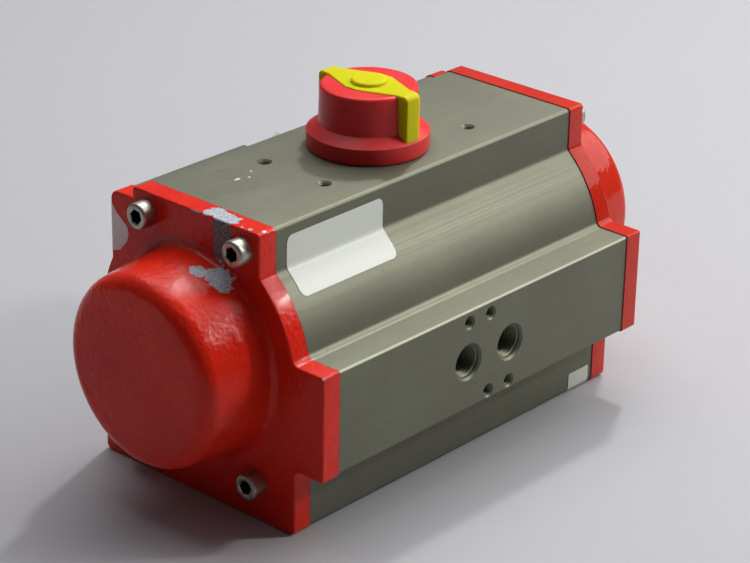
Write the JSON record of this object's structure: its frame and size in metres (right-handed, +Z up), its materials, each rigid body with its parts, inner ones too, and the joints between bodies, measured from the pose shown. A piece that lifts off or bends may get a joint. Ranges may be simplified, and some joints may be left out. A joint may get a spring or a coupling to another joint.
{
  "type": "rack-and-pinion pneumatic actuator",
  "caption": "Spring-return rack-and-pinion air actuator: two pistons in an extruded body turn a drive shaft by a quarter turn, shown by a round position indicator.",
  "frame": {"origin": "the drive shaft's axis at the bottom mounting face", "axes": "+X along the cylinder bore towards the right end cap, -Y out of the air ports, +Z up the drive shaft"},
  "size_m": [0.2408, 0.1119, 0.1382],
  "materials": {
    "body_anodised": "matt anodised, drawn lines along the extrusion",
    "cap_paint": "glossy red enamel on cast aluminium",
    "screw_steel": "stainless steel",
    "indicator_red": "moulded red plastic",
    "pointer_yellow": "moulded yellow plastic",
    "seal_rubber": "black nitrile rubber",
    "bearing_polymer": "off-white bearing polymer",
    "piston_alloy": "cast aluminium, machined",
    "pinion_steel": "nickel-plated steel",
    "spring_steel": "coated spring steel"
  },
  "bodies": {
    "housing": {"body": "body_anodised", "end_cap_left": "cap_paint", "end_cap_right": "cap_paint", "cap_screws_left": "screw_steel", "cap_screws_right": "screw_steel", "cap_seal_left": "seal_rubber", "cap_seal_right": "seal_rubber", "pinion_bush_lower": "bearing_polymer", "pinion_bush_upper": "bearing_polymer", "thrust_bearing": "bearing_polymer", "stop_nuts": "screw_steel", "stop_washers": "screw_steel", "spring_outer_left": "spring_steel", "spring_outer_right": "spring_steel", "spring_inner_left": "spring_steel", "spring_inner_right": "spring_steel"},
    "output_shaft": {"pinion": "pinion_steel", "stop_cam": "pinion_steel", "pinion_seal_lower": "seal_rubber", "pinion_seal_upper": "seal_rubber", "thrust_washer": "screw_steel", "retaining_ring": "screw_steel", "position_indicator": "indicator_red", "indicator_pointer": "pointer_yellow", "indicator_screw": "screw_steel"},
    "piston_group_left": {"piston_left": "piston_alloy", "piston_seal_left": "seal_rubber", "piston_guide_left": "bearing_polymer", "rack_pad_left": "bearing_polymer"},
    "piston_group_right": {"piston_right": "piston_alloy", "piston_seal_right": "seal_rubber", "piston_guide_right": "bearing_polymer", "rack_pad_right": "bearing_polymer"},
    "closed_stop": {"stop_screw_closed": "screw_steel"},
    "open_stop": {"stop_screw_open": "screw_steel"}
  },
  "joints": [
    {"name": "pinion_turn", "type": "hinge", "parent": "housing", "child": "output_shaft", "pos_m": [0, 0, 0], "axis": [0, 0, 1], "range_deg": [0, 90]},
    {"name": "piston_left_slide", "type": "slide", "parent": "housing", "child": "piston_group_left", "axis": [-1, 0, 0], "range_m": [0, 0.0252], "deforming": ["spring_outer_left", "spring_inner_left"]},
    {"name": "piston_right_slide", "type": "slide", "parent": "housing", "child": "piston_group_right", "axis": [1, 0, 0], "range_m": [0, 0.0252], "deforming": ["spring_outer_right", "spring_inner_right"]},
    {"name": "stop_screw_closed_slide", "type": "slide", "parent": "housing", "child": "closed_stop", "axis": [0, 1, 0], "range_m": [0, 0.004]},
    {"name": "stop_screw_open_slide", "type": "slide", "parent": "housing", "child": "open_stop", "axis": [0, 1, 0], "range_m": [0, 0.004]}
  ],
  "couplings": [
    {"joint": "piston_left_slide", "follows": "pinion_turn", "m_per_rad": 0.016},
    {"joint": "piston_right_slide", "follows": "pinion_turn", "m_per_rad": 0.016}
  ]
}
